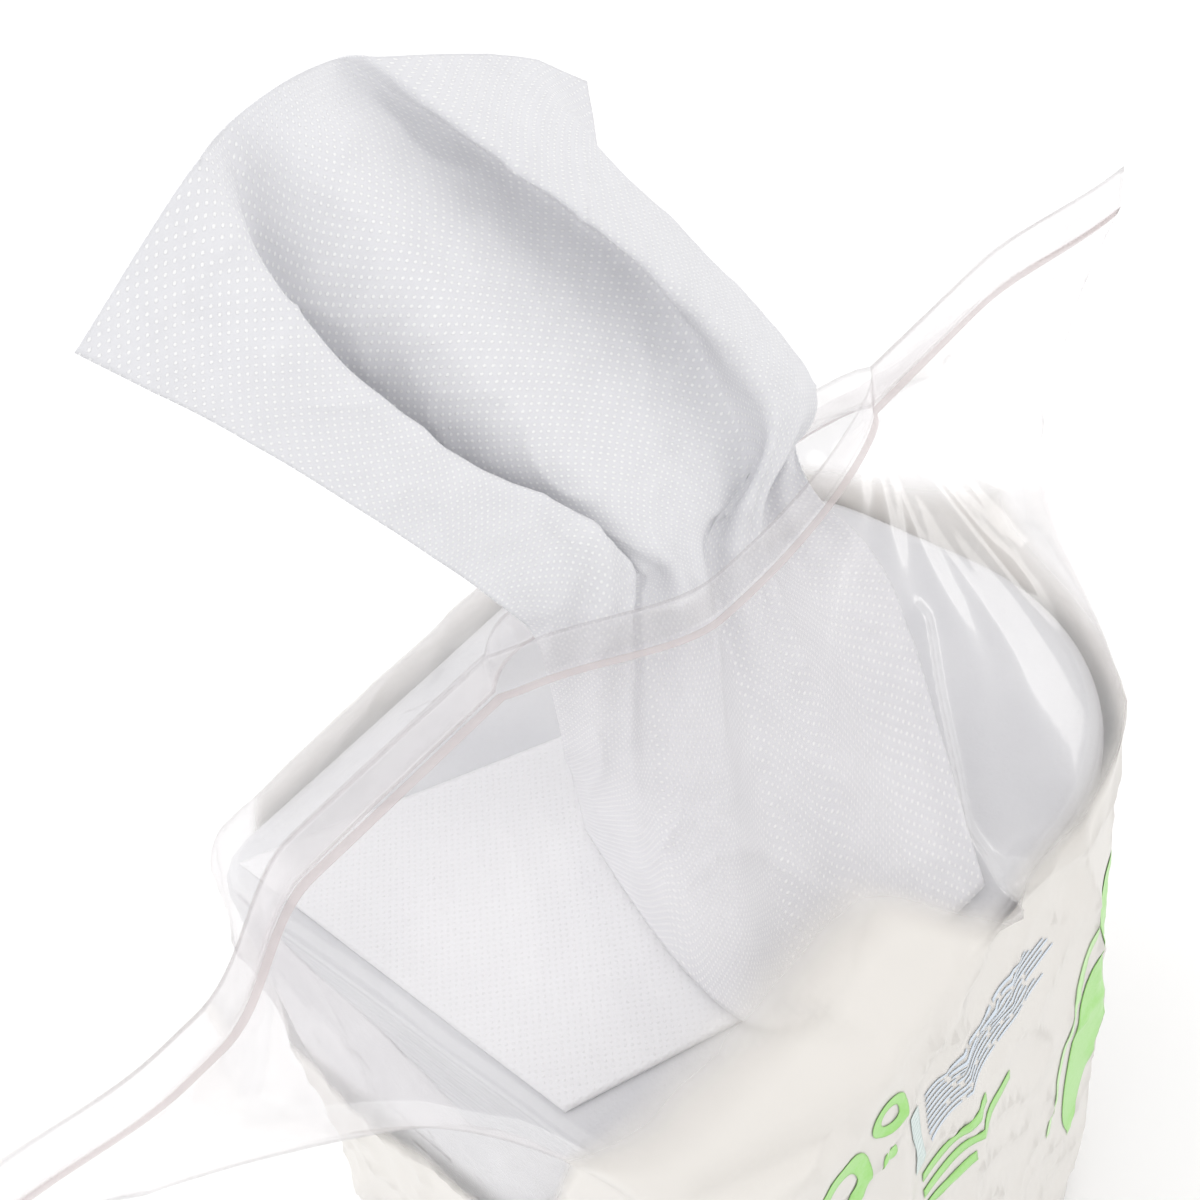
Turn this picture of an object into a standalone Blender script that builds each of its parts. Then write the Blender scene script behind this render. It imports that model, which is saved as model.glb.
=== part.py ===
"""A refill pack of wet wipes: a clear film bag with a sealed top fin, the stack of folded wipes inside it, the
loose wipe on top of the stack, and one wipe drawn up through the opening in the fin.

Metres, +Z up. The origin is on the floor, below the middle of the bag's opening. X runs along the fin.
"""

import math

import bpy
from mathutils import Vector

MM = 0.001

# Driving sizes
STACK_LEFT = -88 * MM
STACK_RIGHT = 134 * MM
STACK_FRONT = -84 * MM
STACK_BACK = 104 * MM
STACK_BOTTOM = 1.2 * MM
STACK_TOP = 256 * MM
SQUARE_CORNER = 14 * MM  # corner radius at the left end, where the wipes' folds lie
ROUND_CORNER = 75 * MM  # corner radius at the right end
EDGE_ROUNDING = 5 * MM

FILM = 0.8 * MM
FILM_CLEARANCE = 3 * MM  # between the stack and the bag's inner wall
SHOULDER = 261 * MM  # where the front and back panels start to lean in
EAR_START = 228 * MM  # where the two ends start to flare out to the fin's corners
SEAL = 335 * MM  # height of the seal line
FIN = 14 * MM  # film above the seal line
FIN_LEFT = -195 * MM
FIN_RIGHT = 212 * MM
OPEN_LEFT = -34 * MM  # the opening torn in the seal
OPEN_RIGHT = 98 * MM
OPEN_HALF_GAP = 13 * MM

SHEET = 1.0 * MM  # thickness of a damp wipe
NECK_MIDDLE = 23 * MM  # where the drawn wipe passes the opening
NECK_WIDTH = 82 * MM
GAP = 0.3 * MM

# Where the drawn wipe meets the one below it (mm), from its back corner, forward and then along the stack's front
DRAWN_FOOT = ((-16, 21), (-31, -15), (-39, -48), (-28, -65), (0, -73), (29, -77))

# The drawn wipe's folds above the opening, from its front side edge to its back one. Each has its place (mm) at
# four heights, from just above the fin to the wipe's free end.
DRAWN_FOLDS = (
    ((-30, 16, 363), (-45, 25, 393), (-65, 40, 429), (-83, 55, 456)),  # front side edge
    ((-5, 9, 370), (-29, 21, 406), (-44, 34, 439), (-50, 51, 477)),  # near ridge
    ((6, 11, 349), (-23, 40, 386), (-40, 51, 429), (-36, 54, 479)),  # deep valley
    ((10, 8, 359), (-11, 23, 407), (-19, 34, 447), (-25, 48, 484)),  # broad middle crest
    ((48, 7, 349), (44, 26, 399), (22, 40, 438), (-11, 48, 482)),  # far valley
    ((53, -1, 369), (33, 11, 415), (10, 25, 452), (-5, 42, 481)),  # turned-over ridge
    ((70, -1, 360), (55, 13, 403), (37, 27, 439), (27, 38, 466)),  # outer fold
    ((64, 6, 360), (53, 20, 397), (40, 30, 421), (45, 37, 451)),  # back side edge
)


def clear_scene():
    for old in list(bpy.data.objects):
        bpy.data.objects.remove(old, do_unlink=True)


def principled(name, colour, roughness, transmission=0.0):
    material = bpy.data.materials.new(name)
    material.use_nodes = True
    shader = material.node_tree.nodes["Principled BSDF"]
    shader.inputs["Base Color"].default_value = (*colour, 1.0)
    shader.inputs["Roughness"].default_value = roughness
    shader.inputs["Metallic"].default_value = 0.0
    shader.inputs["Transmission Weight"].default_value = transmission
    return material


def add_object(name, points, faces, material):
    mesh = bpy.data.meshes.new(name)
    mesh.from_pydata([tuple(p) for p in points], [], faces)
    mesh.validate()
    mesh.shade_smooth()
    mesh.set_sharp_from_angle(angle=math.radians(40))
    mesh.materials.append(material)
    piece = bpy.data.objects.new(name, mesh)
    bpy.context.scene.collection.objects.link(piece)
    return piece


# Outlines in plan


def smoothstep(low, high, value):
    t = min(max((value - low) / (high - low), 0.0), 1.0)
    return t * t * (3 - 2 * t)


def arc(centre_x, centre_y, radius, start_deg, end_deg, steps=10):
    angles = [start_deg + (end_deg - start_deg) * i / steps for i in range(steps + 1)]
    turns = [math.radians(a) for a in angles]
    return [(centre_x + radius * math.cos(t), centre_y + radius * math.sin(t)) for t in turns]


def half_outline(offset, side):
    """The front (side -1) or back (side +1) half of the stack's plan, grown by offset, from left end to right."""
    left = STACK_LEFT - offset
    right = STACK_RIGHT + offset
    square = SQUARE_CORNER + offset
    big = ROUND_CORNER + offset
    y = STACK_FRONT - offset if side < 0 else STACK_BACK + offset
    path = [(left, 0.0)]
    path += arc(left + square, y - side * square, square, 180, 180 - 90 * side)
    path += arc(right - big, y - side * big, big, 90 * side, 0)
    path.append((right, 0.0))
    return path


def along(path, count):
    """count + 1 points spread evenly along a path."""
    lengths = [0.0]
    for (ax, ay), (bx, by) in zip(path, path[1:]):
        lengths.append(lengths[-1] + math.hypot(bx - ax, by - ay))
    spread = []
    k = 0
    for i in range(count + 1):
        target = lengths[-1] * i / count
        while k < len(path) - 2 and lengths[k + 1] < target:
            k += 1
        t = (target - lengths[k]) / max(lengths[k + 1] - lengths[k], 1e-9)
        (ax, ay), (bx, by) = path[k], path[k + 1]
        spread.append((ax + (bx - ax) * t, ay + (by - ay) * t))
    return spread


def loop_of(offset, count):
    """A closed ring round the stack's plan, anticlockwise seen from above."""
    front = along(half_outline(offset, -1), count)
    back = along(half_outline(offset, 1), count)
    return front + back[-2:0:-1]


# The bag


def fin_y(x):
    """The fin waves gently front to back along its length."""
    wave = 17 * MM * smoothstep(-140 * MM, -98 * MM, x) * (1 - smoothstep(-30 * MM, 14 * MM, x))
    left_end = 8 * MM * smoothstep(150 * MM, 195 * MM, -x)
    right_end = -11 * MM * smoothstep(150 * MM, 215 * MM, x)
    return 2 * MM + wave + left_end + right_end


def lip_gap(x):
    if not OPEN_LEFT < x < OPEN_RIGHT:
        return 0.0
    t = (x - OPEN_LEFT) / (OPEN_RIGHT - OPEN_LEFT)
    return OPEN_HALF_GAP * math.sin(math.pi * t) ** 0.6


def film_point(share, body, side, level):
    """A point of the bag's inner skin. level is 0 at the shoulder, 1 at the seal line and 2 at the fin's top."""
    fin_x = FIN_LEFT + (FIN_RIGHT - FIN_LEFT) * share
    mouth_y = fin_y(fin_x) + side * lip_gap(fin_x)
    ends = abs(2 * share - 1) ** 6
    start = SHOULDER + (EAR_START - SHOULDER) * ends
    lean = min(level, 1.0) ** 1.15
    x = body[0] + (fin_x - body[0]) * lean
    y = body[1] + (mouth_y - body[1]) * lean
    z = start + (SEAL - start) * min(level, 1.0) + FIN * max(level - 1.0, 0.0)
    return Vector((x, y, z))


def film_columns(count, side, levels, heights):
    body = along(half_outline(FILM_CLEARANCE, side), count)
    columns = []
    for i, (x, y) in enumerate(body):
        share = i / count
        top = film_point(share, (x, y), side, 0.0).z
        column = [Vector((x, y, FILM + (top - FILM) * h)) for h in heights]
        column += [film_point(share, (x, y), side, level) for level in levels]
        columns.append(column)
    return columns


def outward(columns, side, row):
    """Plan normals of one row of a half, from its neighbours along the row."""
    normals = []
    last = len(columns) - 1
    for i in range(last + 1):
        if i in (0, last):
            normals.append(Vector((-1.0 if i == 0 else 1.0, 0.0, 0.0)))
            continue
        run = columns[i + 1][row] - columns[i - 1][row]
        normal = Vector((run.y, -run.x, 0.0)) * (-side)
        normals.append(normal.normalized())
    return normals


def build_bag(material):
    """A bag with a real mouth: the inner front and back skins meet at the seal line, except along the opening."""
    count = 38
    heights = (0.0, 0.02, 0.5, 0.9)
    levels = (0.0, 0.12, 0.3, 0.5, 0.7, 0.88, 1.0, 1.5, 2.0)
    seal_row = len(heights) + levels.index(1.0)
    rows = len(heights) + len(levels)
    fin_at = [FIN_LEFT + (FIN_RIGHT - FIN_LEFT) * i / count for i in range(count + 1)]
    is_open = [lip_gap(x) > 0.0 for x in fin_at]
    gapless = [not o for o in is_open]

    points = []
    inner = {}
    outer = {}

    def add(point):
        points.append(point)
        return len(points) - 1

    for side in (-1, 1):
        columns = film_columns(count, side, levels, heights)
        normals = [outward(columns, side, row) for row in range(rows)]
        for i in range(count + 1):
            for j in range(rows):
                shared = i in (0, count) and side > 0
                point = columns[i][j]
                skin = Vector(point) + normals[j][i] * FILM
                if j == 0:
                    skin.z = 0.0
                outer[side, i, j] = outer[-1, i, j] if shared else add(skin)
                welded = side > 0 and (i in (0, count) or (gapless[i] and j >= seal_row))
                needed = j <= seal_row or is_open[i] or is_open[max(i - 1, 0)] or is_open[min(i + 1, count)]
                if welded:
                    inner[side, i, j] = inner.get((-1, i, j))
                elif needed:
                    inner[side, i, j] = add(point)

    faces = []

    def quad(a, b, c, d, flip):
        corners = []
        for corner in (a, b, c, d):
            if corner not in corners:
                corners.append(corner)
        if len(corners) > 2:
            faces.append(corners[::-1] if flip else corners)

    for side in (-1, 1):
        back = side > 0
        for i in range(count):
            opened = is_open[i] or is_open[i + 1]
            for j in range(rows - 1):
                quad(outer[side, i, j], outer[side, i + 1, j], outer[side, i + 1, j + 1], outer[side, i, j + 1], back)
                if j < seal_row or opened:
                    quad(inner[side, i, j], inner[side, i + 1, j], inner[side, i + 1, j + 1],
                         inner[side, i, j + 1], not back)
            top = rows - 1
            if opened:
                quad(outer[side, i, top], outer[side, i + 1, top], inner[side, i + 1, top], inner[side, i, top], back)
    top = rows - 1
    for i in range(count):
        opened = is_open[i] or is_open[i + 1]
        if not opened:
            quad(outer[-1, i, top], outer[-1, i + 1, top], outer[1, i + 1, top], outer[1, i, top], False)
        if not is_open[i] and is_open[i + 1]:
            quad(outer[-1, i, top], inner[-1, i, top], outer[1, i, top], outer[1, i, top], False)
        if is_open[i] and not is_open[i + 1]:
            quad(outer[-1, i + 1, top], outer[1, i + 1, top], inner[-1, i + 1, top], inner[-1, i + 1, top], False)
    for skin, flip in ((outer, True), (inner, False)):
        ring = [skin[-1, i, 0] for i in range(count + 1)] + [skin[1, i, 0] for i in range(count - 1, 0, -1)]
        faces.append(ring[::-1] if flip else ring)
    return add_object("bag", points, faces, material)


# The stack and the loose wipe on it


def build_stack(material):
    """The folded wipes as one block, rounded along its top and bottom edges and swelling a little between."""
    count = 26
    turns = [math.radians(a) for a in (0, 30, 60, 90)]
    inset = [EDGE_ROUNDING * (1 - math.sin(t)) for t in turns]
    rise = [EDGE_ROUNDING * (1 - math.cos(t)) for t in turns]
    sections = [(STACK_BOTTOM + z, i) for z, i in zip(rise, inset)]
    sections += [(STACK_TOP - z, i) for z, i in zip(rise[::-1], inset[::-1])]
    points = []
    for z, grow in sections:
        points += [(x, y, z) for x, y in loop_of(-grow, count)]
    ring = len(loop_of(0.0, count))
    faces = [list(range(ring))[::-1]]
    for j in range(len(sections) - 1):
        for i in range(ring):
            k = (i + 1) % ring
            faces.append([j * ring + i, j * ring + k, (j + 1) * ring + k, (j + 1) * ring + i])
    faces.append([(len(sections) - 1) * ring + i for i in range(ring)])
    return add_object("wipe_stack", points, faces, material)


def build_loose_wipe(material):
    """The next wipe, half unfolded and lying askew on the stack, two layers thick."""
    across = 12
    deep = 12
    corners = ((-83, -29), (24, -76), (80, 10), (-80, 96))
    bottom = STACK_TOP + GAP
    points = []
    for layer in (0.0, 2 * SHEET):
        for j in range(deep + 1):
            for i in range(across + 1):
                u, v = i / across, j / deep
                front = Vector(corners[0]).lerp(Vector(corners[1]), u)
                back = Vector(corners[3]).lerp(Vector(corners[2]), u)
                spot = front.lerp(back, v) * MM
                points.append((spot.x, spot.y, bottom + layer))
    return add_object("loose_wipe", points, slab_faces(across, deep), material)


def slab_faces(across, deep):
    """Faces of a closed slab made of a lower and an upper grid of points."""
    row = across + 1
    upper = row * (deep + 1)
    faces = []
    for j in range(deep):
        for i in range(across):
            a = j * row + i
            low = [a, a + row, a + row + 1, a + 1]
            faces.append(low)
            faces.append([upper + k for k in low[::-1]])
    edge = [i for i in range(across)]
    edge += [across + row * j for j in range(deep)]
    edge += [deep * row + i for i in range(across, 0, -1)]
    edge += [row * j for j in range(deep, 0, -1)]
    for a, b in zip(edge, edge[1:] + edge[:1]):
        faces.append([a, b, upper + b, upper + a])
    return faces


# The drawn wipe


def curve_through(stops, t):
    """A smooth curve through the stops, t from 0 at the first to 1 at the last."""
    place = min(max(t, 0.0), 1.0) * (len(stops) - 1)
    k = min(int(place), len(stops) - 2)
    f = place - k
    b, c = stops[k], stops[k + 1]
    a = stops[k - 1] if k else b * 2 - c
    d = stops[k + 2] if k + 2 < len(stops) else c * 2 - b
    return (b * 2 + (c - a) * f + (a * 2 - b * 5 + c * 4 - d) * f * f
            + (b * 3 - a - c * 3 + d) * f * f * f) * 0.5


def landing(share):
    """Where the drawn wipe meets the loose wipe."""
    place = curve_through([Vector(stop) for stop in DRAWN_FOOT], share) * MM
    return Vector((place.x, place.y, STACK_TOP + 2 * GAP + 2 * SHEET + 0.55 * SHEET))


def neck(share, height):
    """The wipe gathered in the opening, in zigzag pleats."""
    x = NECK_MIDDLE + NECK_WIDTH * (share - 0.5)
    y = fin_y(x) + 4 * MM * math.cos(7 * math.pi * share)
    return Vector((x, y, height))


def fold_line(number):
    """One fold of the drawn wipe, from the stack up through the opening to its free end."""
    share = number / (len(DRAWN_FOLDS) - 1)
    foot = landing(share)
    throat = neck(share, SEAL)
    halfway = foot.lerp(throat, 0.5) + Vector((28, 20, 0)) * MM * share**2
    free = [Vector(stop) * MM for stop in DRAWN_FOLDS[number]]
    return [foot, halfway, throat] + free


def build_drawn_wipe(material):
    across = 28
    deep = 30
    folds = [fold_line(n) for n in range(len(DRAWN_FOLDS))]
    grid = []
    for j in range(deep + 1):
        stops = [curve_through(fold, j / deep) for fold in folds]
        grid.append([curve_through(stops, i / across) for i in range(across + 1)])
    points = [[], []]
    for j in range(deep + 1):
        for i in range(across + 1):
            along_row = grid[j][min(i + 1, across)] - grid[j][max(i - 1, 0)]
            up_column = grid[min(j + 1, deep)][i] - grid[max(j - 1, 0)][i]
            normal = along_row.cross(up_column).normalized()
            points[0].append(grid[j][i] - normal * SHEET / 2)
            points[1].append(grid[j][i] + normal * SHEET / 2)
    return add_object("drawn_wipe", points[0] + points[1], slab_faces(across, deep), material)


def main():
    clear_scene()
    film = principled("clear_film", (0.92, 0.94, 0.94), 0.12, transmission=0.85)
    wipe = principled("damp_wipe", (0.90, 0.91, 0.93), 0.75)
    folded = principled("folded_wipes", (0.86, 0.88, 0.91), 0.8)
    build_bag(film)
    build_stack(folded)
    build_loose_wipe(wipe)
    build_drawn_wipe(wipe)


main()
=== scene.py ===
"""The looks of the wet wipes pack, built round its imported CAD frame.

The pieces are the clear printed film bag, the folded wipes in it, the loose wipe on top of them and the
wipe drawn up through the opening. Metres, +Z up.
"""

import math

import bpy
import numpy as np
from mathutils import Matrix, Vector, noise


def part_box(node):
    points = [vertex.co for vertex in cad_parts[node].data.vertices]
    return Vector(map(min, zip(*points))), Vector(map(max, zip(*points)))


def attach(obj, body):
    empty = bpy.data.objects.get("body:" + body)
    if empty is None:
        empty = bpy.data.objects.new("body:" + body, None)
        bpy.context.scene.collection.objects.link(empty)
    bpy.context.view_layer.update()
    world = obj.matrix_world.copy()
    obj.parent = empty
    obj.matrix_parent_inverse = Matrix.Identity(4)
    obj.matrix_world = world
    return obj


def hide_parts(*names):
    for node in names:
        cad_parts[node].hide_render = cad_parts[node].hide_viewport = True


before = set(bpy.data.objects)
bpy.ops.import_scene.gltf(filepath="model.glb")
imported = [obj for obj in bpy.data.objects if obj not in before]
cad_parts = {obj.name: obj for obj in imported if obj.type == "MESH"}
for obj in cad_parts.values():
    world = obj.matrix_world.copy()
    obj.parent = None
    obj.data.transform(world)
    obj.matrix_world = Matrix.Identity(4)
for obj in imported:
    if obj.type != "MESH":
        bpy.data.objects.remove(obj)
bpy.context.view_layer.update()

MM = 0.001

# Sizes taken from the frame
STACK_LOW, STACK_HIGH = (np.array(corner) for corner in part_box("wipe_stack"))
BAG_LOW, BAG_HIGH = (np.array(corner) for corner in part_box("bag"))
LOOSE_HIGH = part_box("loose_wipe")[1][2]

# Sizes shared with the CAD
SQUARE_CORNER = 14 * MM
ROUND_CORNER = 75 * MM
FILM_CLEARANCE = 3 * MM
SHOULDER = STACK_HIGH[2] + 5 * MM
EAR_START = STACK_HIGH[2] - 28 * MM
FIN = 14 * MM
SEAL = BAG_HIGH[2] - FIN
FIN_LEFT = -195 * MM
FIN_RIGHT = 212 * MM
OPEN_LEFT = -34 * MM
OPEN_RIGHT = 98 * MM
OPEN_HALF_GAP = 13 * MM
NECK_MIDDLE = 23 * MM
NECK_WIDTH = 82 * MM
DRAWN_FOOT = ((-16, 21), (-31, -15), (-39, -48), (-28, -65), (0, -73), (29, -77))
DRAWN_FOLDS = (
    ((-30, 16, 363), (-45, 25, 393), (-65, 40, 429), (-83, 55, 456)),  # front side edge
    ((-5, 9, 370), (-29, 21, 406), (-44, 34, 439), (-50, 51, 477)),  # near ridge
    ((6, 11, 349), (-23, 40, 386), (-40, 51, 429), (-36, 54, 479)),  # deep valley
    ((10, 8, 359), (-11, 23, 407), (-19, 34, 447), (-25, 48, 484)),  # broad middle crest
    ((48, 7, 349), (44, 26, 399), (22, 40, 438), (-11, 48, 482)),  # far valley
    ((53, -1, 369), (33, 11, 415), (10, 25, 452), (-5, 42, 481)),  # turned-over ridge
    ((70, -1, 360), (55, 13, 403), (37, 27, 439), (27, 38, 466)),  # outer fold
    ((64, 6, 360), (53, 20, 397), (40, 30, 421), (45, 37, 451)),  # back side edge
)

# Film, cloth and ink
FILM = 0.25 * MM
WIPE = 0.45 * MM
DOT_PITCH = 1.75 * MM  # the wipe's embossed dots
LAYER_PITCH = 2.2 * MM  # the lines of painted shade between the layers on the stack's sides, one for several layers
INK_FADE = 16 * MM  # the white ink thins out over this height
PRINT_LIFT = 0.45 * MM  # how far the print's pieces stand off the film's middle surface
PRINT_THICKNESS = 0.08 * MM


# Small tools


def smoothstep(low, high, value):
    t = np.clip((value - low) / (high - low), 0.0, 1.0)
    return t * t * (3 - 2 * t)


def soft_noise(points, scale, seed=0.0):
    """Perlin noise, about -1 to 1, at each position of an array. scale is the size of its lumps."""
    shape = points.shape[:-1]
    flat = points.reshape(-1, 3) / scale + seed
    return np.array([noise.noise(Vector(p)) for p in flat]).reshape(shape)


def ridges(points, scale, seed=0.0, sharp=10.0):
    """Thin crease lines: 1 on the line and 0 away from it."""
    return (1.0 - np.abs(soft_noise(points, scale, seed))) ** sharp


def grid_normals(grid, wrap=False):
    if wrap:
        run = np.roll(grid, -1, axis=1) - np.roll(grid, 1, axis=1)
    else:
        run = np.gradient(grid, axis=1)
    rise = np.gradient(grid, axis=0)
    normal = np.cross(run, rise)
    return normal / np.maximum(np.linalg.norm(normal, axis=-1, keepdims=True), 1e-12)


def grid_faces(rows, columns, wrap=False):
    faces = []
    for j in range(rows - 1):
        for i in range(columns if wrap else columns - 1):
            k = (i + 1) % columns
            faces.append((j * columns + i, j * columns + k, (j + 1) * columns + k, (j + 1) * columns + i))
    return faces


def new_piece(name, points, faces, material, replaces=None):
    mesh = bpy.data.meshes.new(name)
    mesh.from_pydata(np.asarray(points).reshape(-1, 3).tolist(), [], faces)
    mesh.validate()
    mesh.shade_smooth()
    mesh.materials.append(material)
    piece = bpy.data.objects.new(name, mesh)
    bpy.context.scene.collection.objects.link(piece)
    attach(piece, "root")
    if replaces:
        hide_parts(replaces)
    return piece


def thicken(piece, thickness, offset=0.0):
    solid = piece.modifiers.new("thickness", "SOLIDIFY")
    solid.thickness = thickness
    solid.offset = offset
    solid.use_even_offset = False


def set_uv(mesh, name, per_vertex):
    layer = mesh.uv_layers.new(name=name)
    index = np.zeros(len(mesh.loops), np.int32)
    mesh.loops.foreach_get("vertex_index", index)
    layer.data.foreach_set("uv", per_vertex.reshape(-1, 2)[index].astype(np.float32).ravel())


def set_value(mesh, name, per_vertex):
    layer = mesh.attributes.new(name, "FLOAT", "POINT")
    layer.data.foreach_set("value", np.asarray(per_vertex, np.float32).ravel())


# Node shorthand


class Nodes:
    """Builds one material's node tree."""

    def __init__(self, name):
        self.material = bpy.data.materials.new(name)
        self.material.use_nodes = True
        self.tree = self.material.node_tree
        self.tree.nodes.clear()
        self.output = self.add("ShaderNodeOutputMaterial")

    def add(self, kind, **settings):
        node = self.tree.nodes.new(kind)
        for key, value in settings.items():
            setattr(node, key, value)
        return node

    def join(self, source, target):
        self.tree.links.new(source, target)

    def feed(self, socket, value):
        if isinstance(value, bpy.types.NodeSocket):
            self.join(value, socket)
        else:
            socket.default_value = value

    def math(self, operation, first, second=0.0):
        node = self.add("ShaderNodeMath", operation=operation)
        self.feed(node.inputs[0], first)
        self.feed(node.inputs[1], second)
        return node.outputs[0]

    def ramp(self, value, low, high, start=0.0, end=1.0):
        node = self.add("ShaderNodeMapRange", interpolation_type="SMOOTHSTEP")
        self.feed(node.inputs["Value"], value)
        node.inputs["From Min"].default_value = low
        node.inputs["From Max"].default_value = high
        node.inputs["To Min"].default_value = start
        node.inputs["To Max"].default_value = end
        return node.outputs[0]

    def noise(self, scale, detail=3.0):
        node = self.add("ShaderNodeTexNoise")
        node.inputs["Scale"].default_value = scale
        node.inputs["Detail"].default_value = detail
        self.join(self.add("ShaderNodeTexCoord").outputs["Object"], node.inputs["Vector"])
        return node.outputs["Fac"]

    def blend(self, factor, first, second):
        node = self.add("ShaderNodeMix", data_type="RGBA")
        self.feed(node.inputs[0], factor)
        self.feed(node.inputs[6], first)
        self.feed(node.inputs[7], second)
        return node.outputs[2]

    def bump(self, height, strength, distance):
        node = self.add("ShaderNodeBump")
        node.inputs["Strength"].default_value = strength
        node.inputs["Distance"].default_value = distance
        self.feed(node.inputs["Height"], height)
        return node.outputs[0]

    def mix_shader(self, factor, first, second):
        node = self.add("ShaderNodeMixShader")
        self.feed(node.inputs[0], factor)
        self.join(first, node.inputs[1])
        self.join(second, node.inputs[2])
        return node.outputs[0]

    def finish(self, shader):
        self.join(shader, self.output.inputs["Surface"])
        return self.material


def wipe_material(name, dots, painted_light=0.0):
    """Damp spunlace: soft fibres, a faint mottle and a staggered grid of embossed dots.

    The dots are laid out on the flat cloth. dots says how clearly they show. The last argument lightens the
    cloth: painted light for wipes inside the bag, making up for the shade the film casts on them."""
    n = Nodes(name)
    shader = n.add("ShaderNodeBsdfPrincipled")
    uv = n.add("ShaderNodeUVMap", uv_map="cloth").outputs[0]
    split = n.add("ShaderNodeSeparateXYZ")
    n.join(uv, split.inputs[0])
    across, along = split.outputs[0], split.outputs[1]
    step = 1.0 / (math.sqrt(2) * DOT_PITCH / MM)
    parts = []
    for sign in ("ADD", "SUBTRACT"):
        diagonal = n.math("MULTIPLY", n.math(sign, across, along), step)
        parts.append(n.math("POWER", n.math("SUBTRACT", n.math("FRACT", diagonal), 0.5), 2.0))
    distance = n.math("SQRT", n.math("ADD", parts[0], parts[1]))
    dot_bump_and_highlight = n.ramp(distance, 0.15, 0.27, 1.0, 0.0)
    fibre = n.noise(2600.0, 2.0)
    mottle = n.noise(140.0, 2.0)
    tone = n.blend(mottle, (0.775, 0.775, 0.805, 1), (0.84, 0.84, 0.865, 1))
    # Painted light: the copy of the cloth that lies inside the bag is blended towards near white, standing
    # in for the light the film takes away.
    tone = n.blend(painted_light, tone, (0.93, 0.93, 0.945, 1))
    tone = n.blend(n.math("MULTIPLY", fibre, 0.35), tone, (0.89, 0.89, 0.905, 1))
    # The embossed dot pattern is real and also bumped. Painting the dots near white is painted highlight,
    # the light their raised tops catch.
    tone = n.blend(n.math("MULTIPLY", dot_bump_and_highlight, dots), tone, (1.0, 1.0, 1.0, 1))
    n.join(tone, shader.inputs["Base Color"])
    shader.inputs["Roughness"].default_value = 0.72
    shader.inputs["Sheen Weight"].default_value = 0.15
    shader.inputs["Sheen Roughness"].default_value = 0.5
    shader.inputs["Specular IOR Level"].default_value = 0.35
    height = n.math("ADD", dot_bump_and_highlight, n.math("MULTIPLY", fibre, 0.25))
    n.join(n.bump(height, 0.55, 0.25 * MM), shader.inputs["Normal"])
    glow = n.add("ShaderNodeBsdfTranslucent")
    n.join(tone, glow.inputs["Color"])
    return n.finish(n.mix_shader(0.16, shader.outputs[0], glow.outputs[0]))


def stack_material():
    """Hundreds of folded wipes seen on their folds: thin level lines of painted shade between the layers, a
    little uneven, on a cloth tone painted darker as shade.
    """
    n = Nodes("folded_wipes")
    shader = n.add("ShaderNodeBsdfPrincipled")
    place = n.add("ShaderNodeTexCoord").outputs["Object"]
    split = n.add("ShaderNodeSeparateXYZ")
    n.join(place, split.inputs[0])
    wobble = n.math("MULTIPLY", n.noise(18.0, 2.0), 6.0)
    level = n.math("MULTIPLY", split.outputs[2], 2 * math.pi / LAYER_PITCH)
    line = n.ramp(n.math("SINE", n.math("ADD", level, wobble)), -1.0, 0.2)
    # Painted shade: the cloth tone is set well below the other wipes' to stand in for the shade over the
    # stack inside the bag. The thin darker level lines are painted shade in the gaps between the layers, and
    # they are also bumped.
    tone = n.blend(line, (0.61, 0.615, 0.64, 1), (0.665, 0.67, 0.69, 1))
    tone = n.blend(n.math("MULTIPLY", n.noise(60.0, 3.0), 0.4), tone, (0.70, 0.70, 0.71, 1))
    n.join(tone, shader.inputs["Base Color"])
    shader.inputs["Roughness"].default_value = 0.8
    shader.inputs["Specular IOR Level"].default_value = 0.3
    n.join(n.bump(n.math("ADD", line, n.noise(900.0, 2.0)), 0.35, 0.5 * MM), shader.inputs["Normal"])
    return n.finish(shader.outputs[0])


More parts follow.
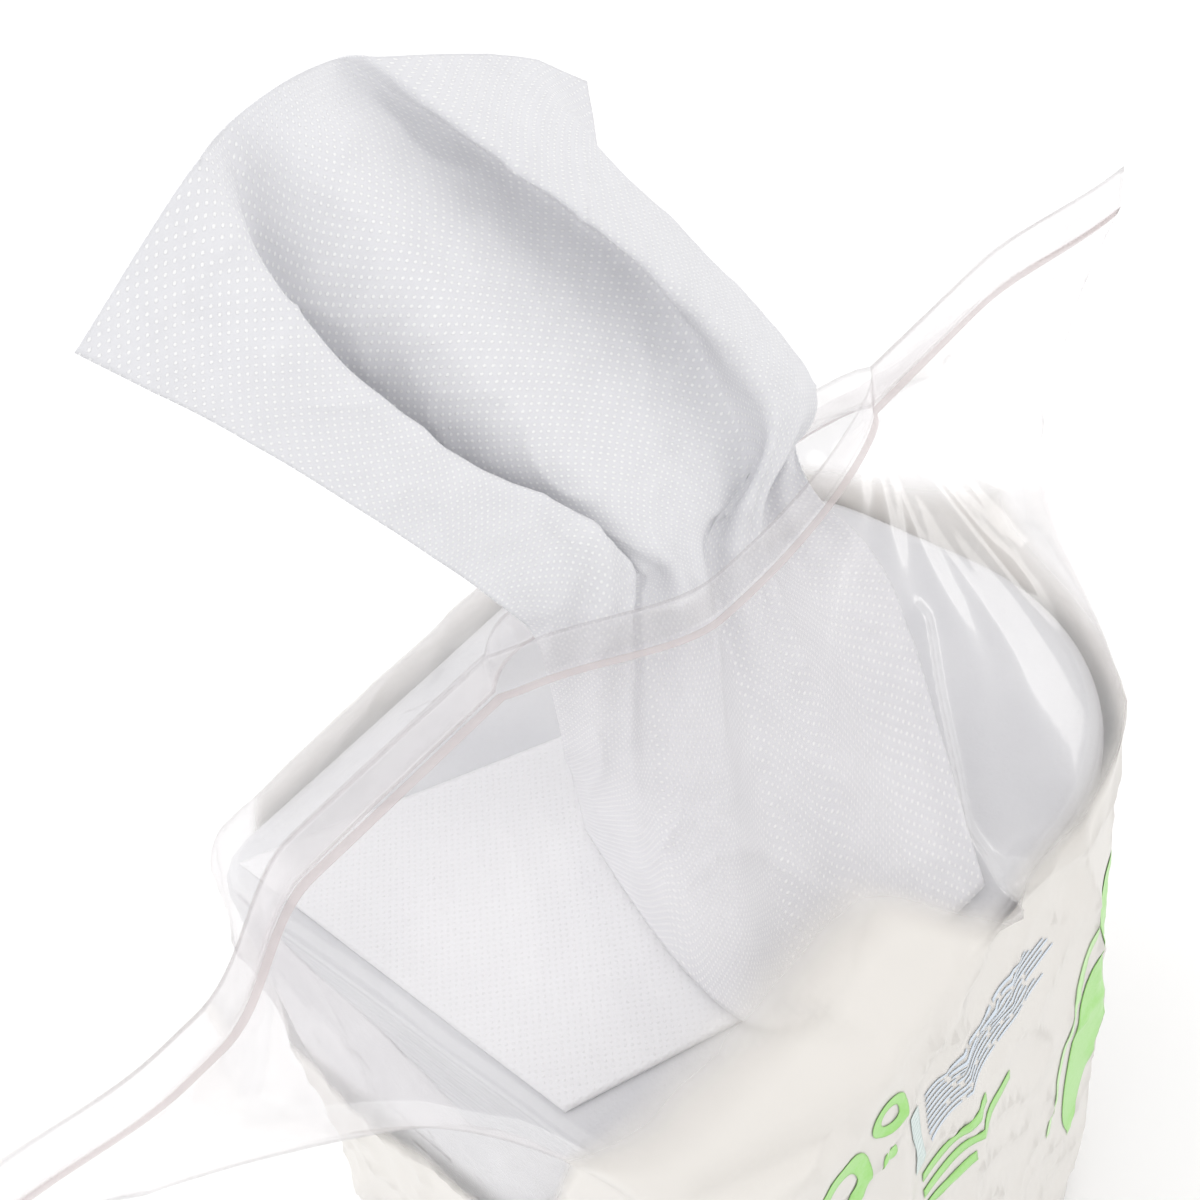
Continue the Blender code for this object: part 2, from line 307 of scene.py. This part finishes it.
def film_material():
    """Clear polythene, a little hazy and faintly grey seen edge on, with white ink below the ink line."""
    n = Nodes("clear_film")
    facing = n.add("ShaderNodeLayerWeight")
    facing.inputs["Blend"].default_value = 0.35
    haze_pattern = n.noise(34.0, 3.0)
    scuff = n.noise(420.0, 3.0)
    bump = n.bump(n.math("ADD", haze_pattern, n.math("MULTIPLY", scuff, 0.03)), 0.35, 0.8 * MM)
    edge = n.math("POWER", facing.outputs["Facing"], 3.0)
    clear = n.add("ShaderNodeBsdfTransparent")
    n.join(n.blend(edge, (0.993, 0.990, 0.991, 1), (0.965, 0.955, 0.960, 1)), clear.inputs["Color"])
    gloss = n.add("ShaderNodeBsdfAnisotropic")
    gloss.inputs["Roughness"].default_value = 0.10
    gloss.inputs["Color"].default_value = (1, 1, 1, 1)
    n.join(bump, gloss.inputs["Normal"])
    fresnel = n.add("ShaderNodeFresnel")
    fresnel.inputs["IOR"].default_value = 1.4
    n.join(bump, fresnel.inputs["Normal"])
    veil = n.add("ShaderNodeBsdfDiffuse")
    veil.inputs["Color"].default_value = (0.98, 0.97, 0.975, 1)
    see = n.mix_shader(n.ramp(haze_pattern, 0.3, 0.75, 0.02, 0.07), clear.outputs[0], veil.outputs[0])
    skin = n.mix_shader(n.math("MULTIPLY", fresnel.outputs[0], 0.32), see, gloss.outputs[0])

    ink = n.add("ShaderNodeBsdfPrincipled")
    ink.inputs["Base Color"].default_value = (0.82, 0.79, 0.75, 1)
    ink.inputs["Roughness"].default_value = 0.28
    n.join(bump, ink.inputs["Normal"])
    printed = n.mix_shader(0.86, clear.outputs[0], ink.outputs[0])
    below = n.add("ShaderNodeAttribute", attribute_name="ink")
    return n.finish(n.mix_shader(n.ramp(below.outputs["Fac"], 0.0, INK_FADE / MM), skin, printed))


def plain_ink(name, colour):
    n = Nodes(name)
    shader = n.add("ShaderNodeBsdfPrincipled")
    tone = n.blend(n.math("MULTIPLY", n.noise(900.0, 3.0), 0.18), (*colour, 1), (0.9, 0.92, 0.9, 1))
    n.join(tone, shader.inputs["Base Color"])
    shader.inputs["Roughness"].default_value = 0.3
    n.join(n.bump(n.noise(300.0, 2.0), 0.2, 0.3 * MM), shader.inputs["Normal"])
    return n.finish(shader.outputs[0])


def seal_material():
    n = Nodes("heat_seal")
    shader = n.add("ShaderNodeBsdfPrincipled")
    tone = n.blend(n.noise(90.0, 3.0), (0.72, 0.66, 0.655, 1), (0.82, 0.79, 0.79, 1))
    n.join(tone, shader.inputs["Base Color"])
    shader.inputs["Roughness"].default_value = 0.3
    clear = n.add("ShaderNodeBsdfTransparent")
    clear.inputs["Color"].default_value = (0.93, 0.9, 0.9, 1)
    return n.finish(n.mix_shader(0.4, clear.outputs[0], shader.outputs[0]))


# The bag's outline in plan and its film


def arc(centre_x, centre_y, radius, start_deg, end_deg, steps=40):
    turns = np.radians(np.linspace(start_deg, end_deg, steps + 1))
    return np.stack([centre_x + radius * np.cos(turns), centre_y + radius * np.sin(turns)], axis=1)


def half_outline(offset, side):
    """Half of the stack's plan, grown by offset: its front (side -1) or back (side +1), left to right."""
    left, right = STACK_LOW[0] - offset, STACK_HIGH[0] + offset
    square, big = SQUARE_CORNER + offset, ROUND_CORNER + offset
    y = STACK_LOW[1] - offset if side < 0 else STACK_HIGH[1] + offset
    corner = arc(left + square, y - side * square, square, 180, 180 - 90 * side)
    bend = arc(right - big, y - side * big, big, 90 * side, 0)
    return np.concatenate([[[left, 0.0]], corner, bend, [[right, 0.0]]])


def along(path, shares):
    """Points at these shares of a path's length, and the length."""
    steps = np.concatenate([[0.0], np.cumsum(np.linalg.norm(np.diff(path, axis=0), axis=1))])
    where = np.asarray(shares) * steps[-1]
    return np.stack([np.interp(where, steps, path[:, k]) for k in range(2)], axis=-1), steps[-1]


def fin_y(x):
    """How far back the fin stands at each place along it: a slack wave at the left, and both ends turned."""
    wave = 17 * MM * smoothstep(-140 * MM, -98 * MM, x) * (1 - smoothstep(-30 * MM, 14 * MM, x))
    left_end = 8 * MM * smoothstep(150 * MM, 195 * MM, -x)
    right_end = -11 * MM * smoothstep(150 * MM, 215 * MM, x)
    return 2 * MM + wave + left_end + right_end


def lip_gap(x):
    """How far each lip of the opening stands from the fin's line."""
    t = np.clip((x - OPEN_LEFT) / (OPEN_RIGHT - OPEN_LEFT), 0.0, 1.0)
    return OPEN_HALF_GAP * np.sin(math.pi * t).clip(0.0) ** 0.6


# Sharp creases in the film: where each one runs (mm), how far it stands out and how wide it is (mm)
FILM_CREASES = (
    (((58, -38, 311), (47, -49, 301), (27, -71, 280), (24, -86, 262)), 3.0, 2.6),
    (((24, -86, 262), (60, -87, 250), (100, -78, 236)), 2.0, 3.0),
    (((24, -86, 262), (-10, -88, 252), (-60, -88, 222)), 2.2, 3.2),
    (((-84, -76, 271), (-64, -83, 266), (-46, -88, 259)), -3.5, 4.0),
    (((-40, -66, 281), (-12, -88, 250), (30, -90, 214)), 1.8, 3.0),
    (((-27, 52, 312), (-30, 70, 292), (-20, 95, 270)), 1.6, 2.0),
    (((-40, 40, 322), (-48, 66, 292), (-52, 92, 268)), 1.5, 1.8),
    (((-140, -4, 326), (-112, -10, 290), (-92, -14, 255)), 2.0, 2.6),
    (((150, -2, 322), (138, -4, 285), (136, -6, 250)), 2.0, 2.6),
)

FILM_COLUMNS = 150
BODY_ROWS = 56
PANEL_ROWS = 60
FIN_ROWS = 8


def film_half(side):
    """The film's front or back half as a grid of points, in rows from the underside to the fin's top."""
    shares = np.linspace(0, 1, FILM_COLUMNS + 1)
    body, _ = along(half_outline(FILM_CLEARANCE, side), shares)
    fin_x = FIN_LEFT + (FIN_RIGHT - FIN_LEFT) * shares
    mouth_y = fin_y(fin_x) + side * np.maximum(lip_gap(fin_x), 0.2 * MM)
    mouth_y[[0, -1]] = fin_y(fin_x[[0, -1]])
    # The body stops at the shoulder, and a little lower at its two ends, where the ears begin
    start = SHOULDER + (EAR_START - SHOULDER) * np.abs(2 * shares - 1) ** 6
    rows = []
    for h in np.linspace(0.0, 1.0, BODY_ROWS, endpoint=False):
        z = BAG_LOW[2] + FILM + (start - FILM) * h
        rows.append(np.stack([body[:, 0], body[:, 1], z], axis=1))
    for level in np.linspace(0.0, 1.0, PANEL_ROWS, endpoint=False):
        lean = level**1.15
        x = body[:, 0] + (fin_x - body[:, 0]) * lean
        y = body[:, 1] + (mouth_y - body[:, 1]) * lean
        rows.append(np.stack([x, y, start + (SEAL - start) * level], axis=1))
    for level in np.linspace(0.0, 1.0, FIN_ROWS):
        rows.append(np.stack([fin_x, mouth_y, SEAL + FIN * level + 0 * fin_x], axis=1))
    return np.array(rows)


def film_grid():
    """The whole film as one wrapped grid: the front from left to right, then the back from right to left."""
    front, back = film_half(-1), film_half(1)
    return np.concatenate([front, back[:, -2:0:-1]], axis=1)


def near_line(grid, stops, width):
    """1 on the line through the stops and 0 away from it, over about this width."""
    nearest = np.full(grid.shape[:2], np.inf)
    for start, end in zip(stops[:-1], stops[1:]):
        run = end - start
        t = np.clip((grid - start) @ run / (run @ run), 0, 1)
        nearest = np.minimum(nearest, np.linalg.norm(grid - start - t[..., None] * run, axis=-1))
    return np.exp(-((nearest / width) ** 2))


def crumple(grid):
    """How far each point of the film stands out from its taut place.

    It adds up soft swells, tension folds that fan out from the opening's ends, the front's belly and sharp
    creases. The body's own folds stop at the shoulder, and the fin stays nearly flat."""
    level = np.arange(len(grid))[:, None]
    panel = smoothstep(BODY_ROWS - 12, BODY_ROWS + 8, level)
    fin = smoothstep(BODY_ROWS + PANEL_ROWS - 8, BODY_ROWS + PANEL_ROWS, level)
    foot = smoothstep(0, 8, level)
    # The smaller the third number, the taller the lumps and folds
    upright = grid * np.array([1.0, 1.0, 0.4])
    tall = grid * np.array([1.0, 1.0, 0.55])
    swell = 3.0 * MM * soft_noise(tall, 75 * MM, 3.1)
    swell += 0.5 * MM * soft_noise(grid, 30 * MM, 7.7)
    crease = 0.8 * MM * ridges(tall, 60 * MM, 11.3, 16.0)
    body_folds = 3.4 * MM * ridges(upright, 44 * MM, 21.7, 5.0) + 1.6 * MM * ridges(grid, 27 * MM, 4.4, 9.0)
    body_folds -= 1.4 * MM  # most of the film lies a little in, between its folds
    pull = np.zeros(grid.shape[:2])
    x, y, z = np.moveaxis(grid, -1, 0)
    down = SEAL - z + 4 * MM
    for end_of_opening, reach in ((OPEN_LEFT, 60 * MM), (OPEN_RIGHT, 50 * MM)):
        sideways = x - end_of_opening
        angle = np.arctan2(sideways, down)
        far = np.hypot(sideways, down)
        fan = np.sin(angle * 22 + 3.0 * soft_noise(grid, 40 * MM, 9.9))
        pull += 0.45 * MM * fan * np.exp(-far / reach) * smoothstep(0, 14 * MM, far)
    belly = 6 * MM * (y < fin_y(x)) * np.sin(np.clip(z / SHOULDER, 0, 1) * math.pi) ** 0.8
    belly = belly * np.cos(np.clip((x - 10 * MM) / (110 * MM), -1, 1) * math.pi / 2)
    out = swell * (0.45 + 0.55 * panel) + crease * (0.7 + 0.5 * panel) + pull * panel
    out = out + (belly + body_folds) * (1 - panel)
    for stops, height, width in FILM_CREASES:
        out = out + height * MM * near_line(grid, np.array(stops) * MM, width * MM)
    low = -1.6 * MM * (1 - panel) - 5 * MM * panel
    return np.clip(out * foot * (1 - 0.85 * fin), low, 9 * MM)


def build_bag(material, seal):
    """The film bag. Returns its middle surface and the normals it was shaped along, for the print."""
    grid = film_grid()
    normals = grid_normals(grid, wrap=True)
    shown = grid + normals * crumple(grid)[..., None]
    rows, columns = shown.shape[:2]
    faces = grid_faces(rows, columns, wrap=True)
    faces.append(list(range(columns))[::-1])
    piece = new_piece("film_bag", shown, faces, material, "bag")
    x, y, z = np.moveaxis(shown, -1, 0)
    # The ink line dips at the back of the left end, and rises over the left part of the front
    end_dip = 90 * MM * smoothstep(60 * MM, 92 * MM, -x) * smoothstep(-60 * MM, 10 * MM, y)
    front_rise = 24 * MM * smoothstep(-24 * MM, 8 * MM, -x) * smoothstep(20 * MM, 50 * MM, -y)
    ink_line = SHOULDER - 2 * MM + front_rise - end_dip + INK_FADE / 2
    set_value(piece.data, "ink", (ink_line - z) / MM)
    piece.data.materials.append(seal)
    seal_row = BODY_ROWS + PANEL_ROWS
    for face in piece.data.polygons[(seal_row - 1) * columns:seal_row * columns]:
        face.material_index = 1
    thicken(piece, FILM)
    return shown, normals


# Print


class Skin:
    """Finds places on the front of the finished film, for laying print on it."""

    def __init__(self, grid, normals):
        self.grid, self.normals = grid, normals
        _, self.front_length = along(half_outline(FILM_CLEARANCE, -1), [0.0])

    def place(self, across, height):
        """A point at this length along the front half from its left end, and at this height, in metres."""
        column = np.clip(across / self.front_length, 0, 1) * FILM_COLUMNS
        row = np.clip(height / SHOULDER, 0, 1) * BODY_ROWS
        i, j = int(column), int(row)
        u, v = column - i, row - j
        corners = ((0, 0, (1 - u) * (1 - v)), (1, 0, u * (1 - v)), (0, 1, (1 - u) * v), (1, 1, u * v))
        spot = 0.0
        for di, dj, weight in corners:
            spot = spot + weight * (self.grid[j + dj, i + di] + self.normals[j + dj, i + di] * PRINT_LIFT)
        return spot


def strip_of(skin, spine, widths, cross=4):
    """Points and faces of a band of print along a spine of (across, height) places."""
    spine = np.asarray(spine, float)
    run = np.gradient(spine, axis=0)
    normal = np.stack([-run[:, 1], run[:, 0]], axis=1)
    normal /= np.linalg.norm(normal, axis=1, keepdims=True)
    points = []
    for place, out, width in zip(spine, normal, widths):
        for t in np.linspace(-0.5, 0.5, cross + 1):
            points.append(skin.place(*(place + out * width * t)))
    return points, grid_faces(len(spine), cross + 1)


def ring_of(skin, across, height, outer, inner, rings=8, turns=56):
    """Points and faces of a round ring of print, or of a disc where inner is next to nothing."""
    points = []
    for radius in np.linspace(inner, outer, rings):
        for a in np.linspace(0, 2 * math.pi, turns, endpoint=False):
            points.append(skin.place(across + radius * math.cos(a), height + radius * math.sin(a)))
    return points, grid_faces(rings, turns, wrap=True)


def print_piece(name, shapes, material):
    """One piece made of all these shapes, each given as its points and faces."""
    points, faces = [], []
    for some, more in shapes:
        faces += [tuple(k + len(points) for k in face) for face in more]
        points += list(some)
    piece = new_piece(name, points, faces, material)
    thicken(piece, PRINT_THICKNESS, 1.0)


def bar(skin, across, height, length, width):
    """Points and faces of a level bar of print that starts at this place and runs to the right."""
    spine = [(across + length * t, height) for t in np.linspace(0, 1, max(8, int(length / MM)))]
    return strip_of(skin, spine, [width] * len(spine))


def build_print(skin):
    """Generic print on the ink: green bubbles, bars and a leaf, fine blue bars and a grey-green strip."""
    green = plain_ink("green_ink", (0.30, 0.66, 0.14))
    pale_green = plain_ink("pale_green_ink", (0.50, 0.78, 0.36))
    blue = plain_ink("blue_ink", (0.62, 0.70, 0.80))
    grey = plain_ink("grey_green_ink", (0.62, 0.72, 0.70))
    left = 97 * MM - SQUARE_CORNER  # along the film, where the left end turns into the front
    shapes = []
    for across, height, outer, inner in (
        (33, 238, 12, 6.5),
        (54, 247, 6.5, 3.2),
        (51, 232, 3.6, 0.01),
        (14, 214, 7, 4),
        (30, 214, 3.5, 0.01),
    ):
        shapes.append(ring_of(skin, left + across * MM, height * MM, outer * MM, inner * MM))
    for across, height, length in ((66, 196, 30), (66, 187, 44), (66, 178, 22)):
        shapes.append(bar(skin, left + across * MM, height * MM, length * MM, 4.5 * MM))
    leaf = np.linspace(0, 1, 90)
    spine = np.stack([left + (150 + 34 * leaf**1.6) * MM, (92 + 128 * leaf) * MM], axis=1)
    shapes.append(strip_of(skin, spine, 21 * MM * np.sin(math.pi * np.clip(leaf, 0.02, 0.98)) ** 0.7, 14))
    print_piece("green_print", shapes, green)
    beside = (spine + np.array([-15 * MM, 6 * MM]))[9:78]
    print_piece("pale_green_print", [strip_of(skin, beside, [2.2 * MM] * len(beside), 3)], pale_green)
    r = np.random.default_rng(4)
    lines = []
    for k in range(9):
        start = 70.0
        while start < 122.0:
            length = float(r.uniform(7, 18))
            lines.append(bar(skin, left + start * MM, (232 - 2.6 * k) * MM, length * MM, 1.1 * MM))
            start += length + 1.6
    print_piece("blue_print", lines, blue)
    rungs = [bar(skin, left + 62 * MM, h * MM, 4.5 * MM, 1.9 * MM) for h in range(206, 234, 2)]
    print_piece("grey_print", rungs, grey)


# The wipes


def curve_through(stops, t):
    """Catmull-Rom curve through the rows of stops, at each t from 0 to 1."""
    place = np.clip(t, 0, 1) * (len(stops) - 1)
    k = np.minimum(place.astype(int), len(stops) - 2)
    f = (place - k).reshape(-1, *([1] * (stops.ndim - 1)))
    padded = np.concatenate([[2 * stops[0] - stops[1]], stops, [2 * stops[-1] - stops[-2]]])
    a, b, c, d = (padded[k + i] for i in range(4))
    return 0.5 * (2 * b + (c - a) * f + (2 * a - 5 * b + 4 * c - d) * f**2 + (3 * b - a - 3 * c + d) * f**3)


def drawn_grid(across, deep):
    """The drawn wipe's middle surface, from its foot on the loose wipe up to its free end."""
    share = np.linspace(0, 1, len(DRAWN_FOLDS))
    foot_plan = curve_through(np.array(DRAWN_FOOT) * MM, share)
    foot = np.column_stack([foot_plan, np.full(len(share), LOOSE_HIGH + 0.6 * MM)])
    x = NECK_MIDDLE + NECK_WIDTH * (share - 0.5)
    pleats = 4 * MM * np.cos(7 * math.pi * share)
    throat = np.stack([x, fin_y(x) + pleats, np.full(len(share), SEAL)], axis=1)
    # Below the opening the cloth bows out towards the round end
    halfway = (foot + throat) / 2 + np.outer(share**2, (28 * MM, 20 * MM, 0))
    free = np.array(DRAWN_FOLDS) * MM
    stops = np.stack([foot, halfway, throat, *free.transpose(1, 0, 2)])
    rails = curve_through(stops, np.linspace(0, 1, deep + 1))
    return curve_through(rails.transpose(1, 0, 2), np.linspace(0, 1, across + 1)).transpose(1, 0, 2)


def cloth_uv(grid):
    """Places on the flat cloth in millimetres, and its width and length in metres.

    Its width is measured along the folds of the upper third, where the cloth isn't squeezed."""
    upper = slice(-len(grid) // 3, None)
    steps = np.linalg.norm(np.diff(grid, axis=1), axis=2)
    width = steps.sum(axis=1)[upper].mean()
    rise = np.linalg.norm(np.diff(grid, axis=0), axis=2).mean(axis=1)
    v = np.concatenate([[0.0], np.cumsum(rise)])
    u = np.concatenate([[0.0], np.cumsum(steps[upper].mean(axis=0))])
    u = u / u[-1] * width
    return np.stack(np.meshgrid(u, v), axis=-1) / MM, width, v[-1]


def build_drawn_wipe(material):
    """The drawn wipe: its folded sheet with pleats at the neck and small soft creases above it."""
    across, deep = 190, 200
    grid = drawn_grid(across, deep)
    normals = grid_normals(grid)
    share = np.linspace(0, 1, across + 1)[None, :]
    up = np.linspace(0, 1, deep + 1)[:, None]
    at_neck = np.exp(-(((up - 0.36) / 0.13) ** 2))
    pleats = 1.1 * MM * np.sin(2 * math.pi * 11 * share + 2.0 * np.sin(9 * up)) * at_neck
    soft = 1.2 * MM * soft_noise(grid, 24 * MM, 2.2) * smoothstep(0.4, 0.6, up)
    fine = 0.5 * MM * soft_noise(grid, 9 * MM, 8.4) + 0.7 * MM * ridges(grid, 26 * MM, 1.7, 12.0)
    inside = smoothstep(0.03, 0.12, up)
    grid = grid + normals * ((pleats + soft + fine) * inside)[..., None]
    faces = grid_faces(deep + 1, across + 1)
    piece = new_piece("drawn_wipe_cloth", grid, faces, material, "drawn_wipe")
    uv, width, length = cloth_uv(grid)
    set_uv(piece.data, "cloth", uv)
    thicken(piece, WIPE)


def build_loose_wipe(material):
    """The loose wipe: a doubled sheet lying askew on the stack."""
    across, deep = 70, 70
    corners = np.array([(-83, -29), (24, -76), (80, 10), (-80, 96)]) * MM
    u, v = np.meshgrid(np.linspace(0, 1, across + 1), np.linspace(0, 1, deep + 1))
    front = corners[0] + (corners[1] - corners[0]) * u[..., None]
    back = corners[3] + (corners[2] - corners[3]) * u[..., None]
    plan = front + (back - front) * v[..., None]
    grid = np.concatenate([plan, np.full((*u.shape, 1), STACK_HIGH[2] + 1.0 * MM)], axis=-1)
    grid[..., 2] += 0.35 * MM * soft_noise(grid, 40 * MM, 6.1)
    faces = grid_faces(deep + 1, across + 1)
    piece = new_piece("loose_wipe_cloth", grid, faces, material, "loose_wipe")
    set_uv(piece.data, "cloth", plan / MM)
    thicken(piece, WIPE * 2)


def build_stack(material):
    """The folded wipes: a soft block whose layers are not quite in line."""
    rows, count, edge = 130, 70, 6 * MM
    shares = np.linspace(0, 1, count + 1)
    front, _ = along(half_outline(0.0, -1), shares)
    back, _ = along(half_outline(0.0, 1), shares)
    ring = np.concatenate([front, back[-2:0:-1]])
    centre = np.array([(STACK_LOW[0] + STACK_HIGH[0]) / 2, (STACK_LOW[1] + STACK_HIGH[1]) / 2])
    r = np.random.default_rng(7)
    layers = []
    for z in np.linspace(STACK_LOW[2], STACK_HIGH[2], rows):
        from_end = min(z - STACK_LOW[2], STACK_HIGH[2] - z) / edge
        inset = edge * (1 - math.sqrt(1 - (1 - min(from_end, 1.0)) ** 2)) + 0.35 * MM * r.random()
        out = ring - centre
        plan = centre + out * (1 - inset / np.linalg.norm(out, axis=1, keepdims=True))
        layers.append(np.column_stack([plan, np.full(len(plan), z)]))
    grid = np.array(layers)
    faces = grid_faces(rows, len(ring), wrap=True)
    faces.append(list(range(len(ring)))[::-1])
    faces.append([(rows - 1) * len(ring) + i for i in range(len(ring))])
    piece = new_piece("folded_stack", grid, faces, material, "wipe_stack")
    piece.data.set_sharp_from_angle(angle=math.radians(60))


# The studio


def build_stage():
    floor = bpy.data.meshes.new("floor")
    half = 3.0
    corners = [(-half, -half, 0), (half, -half, 0), (half, half, 0), (-half, half, 0)]
    floor.from_pydata(corners, [], [(0, 1, 2, 3)])
    n = Nodes("floor")
    shader = n.add("ShaderNodeBsdfDiffuse")
    shader.inputs["Color"].default_value = (0.96, 0.96, 0.96, 1)
    floor.materials.append(n.finish(shader.outputs[0]))
    plane = bpy.data.objects.new("floor", floor)
    bpy.context.scene.collection.objects.link(plane)


def area_light(name, place, target, size, power, colour=(1, 1, 1)):
    light = bpy.data.lights.new(name, "AREA")
    light.shape = "RECTANGLE"
    light.size, light.size_y = size
    light.energy = power
    light.color = colour
    lamp = bpy.data.objects.new(name, light)
    lamp.location = place
    lamp.rotation_euler = (Vector(target) - Vector(place)).to_track_quat("-Z", "Y").to_euler()
    bpy.context.scene.collection.objects.link(lamp)


def build_lights():
    world = bpy.data.worlds.new("studio")
    world.use_nodes = True
    background = world.node_tree.nodes["Background"]
    background.inputs["Color"].default_value = (1, 1, 1, 1)
    background.inputs["Strength"].default_value = 0.98
    bpy.context.scene.world = world
    area_light("key", (-0.9, 0.7, 1.4), (0, 0, 0.3), (2.2, 2.2), 12.0)
    area_light("fill", (0.9, -0.9, 1.0), (0, 0, 0.25), (1.2, 1.2), 3.0, (1.0, 0.98, 0.95))


def build_camera():
    """Looks down on the pack from its front left, rolled so that the uprights lean."""
    azimuth, elevation, roll = math.radians(-42), math.radians(45), math.radians(11)
    back = Vector((math.sin(azimuth) * math.cos(elevation), -math.cos(azimuth) * math.cos(elevation),
                   math.sin(elevation)))
    right = (-back).cross(Vector((0, 0, 1))).normalized()
    up = right.cross(-back)
    turned_right = right * math.cos(roll) - up * math.sin(roll)
    turned_up = right * math.sin(roll) + up * math.cos(roll)
    data = bpy.data.cameras.new("camera")
    data.sensor_width = 36.0
    data.lens = 53.2
    data.clip_start = 0.01
    camera = bpy.data.objects.new("camera", data)
    turn = Matrix((turned_right, turned_up, back)).transposed()
    camera.matrix_world = Matrix.Translation((-0.2059, -0.2134, 0.6464)) @ turn.to_4x4()
    bpy.context.scene.collection.objects.link(camera)
    bpy.context.scene.camera = camera


def main():
    bpy.context.scene.view_settings.view_transform = "Standard"
    bpy.context.scene.cycles.transparent_max_bounces = 32  # the film has many layers in line
    build_camera()
    wipe = wipe_material("damp_wipe", 0.9)
    # A copy of the cloth with faint dots, painted brighter as painted light to make up for the film's shade,
    # for the loose wipe inside the bag.
    smooth_painted_lit_wipe = wipe_material("damp_wipe_painted_lit_under_film", 0.12, 0.9)
    build_stack(stack_material())
    build_loose_wipe(smooth_painted_lit_wipe)
    build_drawn_wipe(wipe)
    film_surface, film_normals = build_bag(film_material(), seal_material())
    build_print(Skin(film_surface, film_normals))
    build_stage()
    build_lights()


main()
